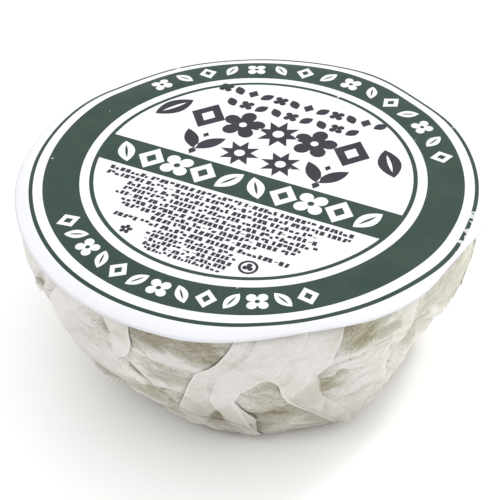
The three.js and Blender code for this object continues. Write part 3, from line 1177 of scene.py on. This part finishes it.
def label_material():
    n = Nodes("printed_paper")
    where = n.place()
    ink = n.add("VertexColor")
    ink.layer_name = "ink"
    green_ink, slate_ink = n.add("SeparateColor", Color=ink.outputs["Color"]).outputs[:2]
    worn = n.plus(n.noise(900, 2, 0.5, where), n.times(n.noise(60, 2, 0.5, where), 0.3))
    worn = n.math("GREATER_THAN", n.plus(worn, n.times(n.attribute("wear"), 0.32)), 0.93)
    kept = n.math("SUBTRACT", 1.0, n.times(worn, 0.75))
    tint = n.noise(500, 4, 0.6, where)
    colour = n.mix(tint, (0.69, 0.695, 0.725), (0.73, 0.735, 0.765))
    green = n.mix(tint, (0.013, 0.036, 0.024), (0.023, 0.052, 0.037))
    slate = n.mix(tint, (0.014, 0.014, 0.022), (0.026, 0.026, 0.038))
    colour = n.mix(n.times(green_ink, kept), colour, green)
    colour = n.mix(n.times(slate_ink, kept), colour, slate)
    normal = n.bump(n.noise(160, 2, 0.4, where), 0.0001, 0.25)
    normal = n.bump(n.noise(2200, 4, 0.6, where), 0.00003, 0.3, normal)
    sheen = n.times(n.math("MAXIMUM", green_ink, slate_ink), 0.08)
    rough = n.math("SUBTRACT", n.stretch(n.noise(260, 3, 0.5, where), -1.2, 1.3), sheen)
    return n.finish(Base_Color=colour, Normal=normal, Roughness=rough, IOR=1.36)


# ---------------------------------------------------------------- soap
SOAP_INSET = 1.25
SOAP_COLUMNS = 144
SOAP_UNEVEN = 0.12
SOAP_FOOT_ROWS = (6, 12, 17)
SOAP_SIDE_ROWS = 56
# Rows over the top, in mm past the rim
SOAP_TOP_ROWS = (5, 10, 16, 22)


def make_soap():
    """The cast cake: a turned bowl shape with the slight unevenness of a hand-filled mould."""
    columns = SOAP_COLUMNS
    side_runs = np.linspace(FOOT_RUN, RIM_RUN + 2.5, SOAP_SIDE_ROWS)
    runs = np.concatenate([SOAP_FOOT_ROWS, side_runs, RIM_RUN + np.array(SOAP_TOP_ROWS)])
    azimuth, run = np.meshgrid(np.arange(columns) * 360 / columns, runs)
    radius, z, normal_r, normal_z = outline_at(np.minimum(run, END_RUN))
    radius = bulged(radius - np.maximum(run - END_RUN, 0), azimuth, z)
    uneven = SOAP_UNEVEN * waves(azimuth / 360, run, 91) - 0.1
    radius = np.maximum(radius + normal_r * (uneven - SOAP_INSET), 1)
    z = np.clip(z + normal_z * (uneven * 0.6 - SOAP_INSET), soap_low.z, soap_high.z)
    points = leaned(radius, azimuth, z).reshape(-1, 3)
    poles = [points[:columns].mean(0), points[-columns:].mean(0)]
    rows = len(runs)
    faces = list(quads(rows, columns))
    faces += [(i, rows * columns, (i + 1) % columns) for i in range(columns)]
    last = (rows - 1) * columns
    faces += [(last + i, last + (i + 1) % columns, rows * columns + 1) for i in range(columns)]
    return new_object("soap_puck", np.concatenate([points, poles]), faces)


def soap_material():
    n = Nodes("soap")
    where = n.place()
    cloud = n.noise(90, 4, 0.6, where, 0.8)
    colour = n.ramp(cloud, (0.25, (0.44, 0.44, 0.31)), (0.55, (0.55, 0.55, 0.41)), (0.8, (0.66, 0.65, 0.52)))
    speck = n.math("GREATER_THAN", n.noise(1500, 2, 0.5, where), 0.69)
    colour = n.mix(n.times(speck, 0.7), colour, (0.10, 0.12, 0.06))
    normal = n.bump(n.noise(240, 5, 0.6, where), 0.0004, 0.4)
    normal = n.bump(n.noise(1800, 3, 0.6, where), 0.00006, 0.5, normal)
    rough = n.stretch(n.noise(200, 3, 0.5, where), -0.7, 1.6)
    wax = {"Subsurface Weight": 0.25, "Subsurface Scale": 0.0015}
    return n.finish(Base_Color=colour, Normal=normal, Roughness=rough, **wax)


# ---------------------------------------------------------------- stage
FLOOR_HALF = 3.0
CAMERA_LENS = 82.5
CAMERA_SENSOR = 36
CAMERA_DISTANCE = 156.6776
CAMERA_ELEVATION = 36.54
# How far the camera is turned from the middle of the label: right, up and about its own axis, in degrees
CAMERA_TURNS = (-0.218, -3.965, -0.815)
LIGHT_FROM = (0.38, 0.36, 0.85)
LIGHT_LOW = 0.50
LIGHT_HIGH = 1.5


def make_stage():
    square = np.array([(-1, -1, 0), (1, -1, 0), (1, 1, 0), (-1, 1, 0)])
    floor = new_object("floor", square * FLOOR_HALF / MM, [(0, 1, 2, 3)])
    floor.data.materials.append(Nodes("floor_white").finish(Base_Color=(0.97, 0.97, 0.97, 1), Roughness=0.9))


def add_light(name, place, aim, size, power):
    data = bpy.data.lights.new(name, "AREA")
    data.shape = "DISK"
    data.size = size
    data.energy = power
    lamp = bpy.data.objects.new(name, data)
    lamp.location = place
    lamp.rotation_mode = "QUATERNION"
    lamp.rotation_quaternion = (Vector(aim) - Vector(place)).to_track_quat("-Z", "Y")
    bpy.context.scene.collection.objects.link(lamp)


def make_world():
    """A white studio all round, brighter towards the top, the back and the right."""
    world = bpy.data.worlds.new("studio")
    bpy.context.scene.world = world
    world.use_nodes = True
    tree = world.node_tree
    background = tree.nodes["Background"]
    background.inputs["Color"].default_value = (1, 1, 1, 1)
    way = tree.nodes.new("ShaderNodeTexCoord")
    facing = tree.nodes.new("ShaderNodeVectorMath")
    facing.operation = "DOT_PRODUCT"
    facing.inputs[1].default_value = LIGHT_FROM
    level = tree.nodes.new("ShaderNodeMapRange")
    for name, value in (("From Min", -0.3), ("From Max", 1.0), ("To Min", LIGHT_LOW), ("To Max", LIGHT_HIGH)):
        level.inputs[name].default_value = value
    tree.links.new(way.outputs["Generated"], facing.inputs[0])
    tree.links.new(facing.outputs["Value"], level.inputs["Value"])
    tree.links.new(level.outputs[0], background.inputs["Strength"])


def make_light():
    make_world()
    add_light("key", (0.34, 0.20, 0.66), (0, 0, 0.015), 0.14, 1.4)
    add_light("front", (-0.42, -0.28, 0.62), (0, 0, 0.01), 0.16, 0.62)
    bpy.context.scene.view_settings.view_transform = "Standard"


def make_camera():
    data = bpy.data.cameras.new("camera")
    data.lens = CAMERA_LENS
    data.sensor_width = CAMERA_SENSOR
    camera = bpy.data.objects.new("camera", data)
    bpy.context.scene.collection.objects.link(camera)
    bpy.context.scene.camera = camera
    elevation = math.radians(CAMERA_ELEVATION)
    back = CAMERA_DISTANCE * math.cos(elevation)
    place = Vector((0, -back, TOP + CAMERA_DISTANCE * math.sin(elevation)))
    forward = (Vector((0, 0, TOP)) - place).normalized()
    right = Vector((1, 0, 0))
    up = right.cross(forward)
    pan, tilt, roll = (math.radians(angle) for angle in CAMERA_TURNS)
    forward = forward * math.cos(pan) * math.cos(tilt) + right * math.sin(pan) * math.cos(tilt)
    forward += up * math.sin(tilt)
    right = (right - forward * right.dot(forward)).normalized()
    up = right.cross(forward)
    turned_right = right * math.cos(roll) + up * math.sin(roll)
    turned_up = up * math.cos(roll) - right * math.sin(roll)
    rotation = Matrix((turned_right, turned_up, -forward)).transposed()
    camera.matrix_world = Matrix.Translation(place * MM) @ rotation.to_4x4()


make_camera()
make_stage()
make_light()

wrap = make_wrap()
wrap.data.materials.append(greaseproof_material())
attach(wrap, "root")
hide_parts("greaseproof_wrap")

label = make_label()
label.data.materials.append(label_material())
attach(label, "root")
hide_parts("top_label")

soap = make_soap()
soap.data.materials.append(soap_material())
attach(soap, "root")
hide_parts("soap_cake")
